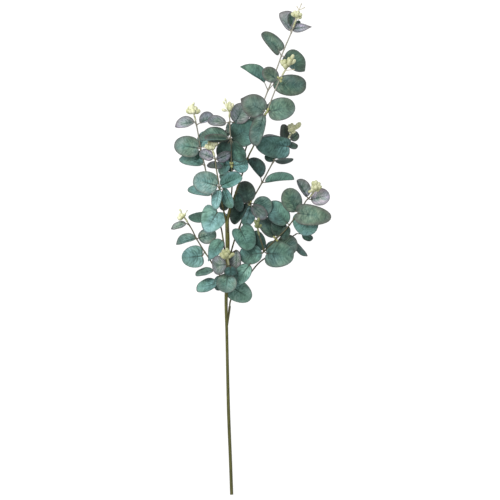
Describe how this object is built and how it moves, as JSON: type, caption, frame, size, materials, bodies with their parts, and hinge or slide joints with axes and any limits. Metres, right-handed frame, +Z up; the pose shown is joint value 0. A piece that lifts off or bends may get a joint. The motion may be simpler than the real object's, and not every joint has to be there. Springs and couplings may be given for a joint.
{
  "type": "eucalyptus gum nut sprig",
  "caption": "Cut eucalyptus sprig with round blue-green leaves on forked side stems and pale gum-nut bud heads, lying on a table.",
  "frame": {"origin": "middle of the bounding box at the surface that the sprig lies on", "axes": "+Y from the cut end of the main stem to the top bud head, +Z up from the surface, +X to the right as the picture shows it"},
  "size_m": [0.2122, 0.6524, 0.0896],
  "materials": {
    "leaf": "matte",
    "stem": "satin",
    "bud": "matte"
  },
  "bodies": {
    "root": {"main_stem": "stem", "spray_top": "leaf", "spray_upper_right": "leaf", "spray_centre": "leaf", "spray_left_centre": "leaf", "spray_left": "leaf", "spray_lower_left": "leaf", "spray_front_low": "leaf", "spray_upper_middle": "leaf", "spray_right": "leaf", "spray_lower_right": "leaf", "spray_front_right": "leaf", "gum_nuts_top": "bud", "gum_nuts_upper_right": "bud", "gum_nuts_centre": "bud", "gum_nuts_left_centre": "bud", "gum_nuts_left": "bud", "gum_nuts_lower_left": "bud", "gum_nuts_front_low": "bud", "gum_nuts_upper_middle": "bud", "gum_nuts_right": "bud", "gum_nuts_front_right": "bud"}
  },
  "joints": []
}
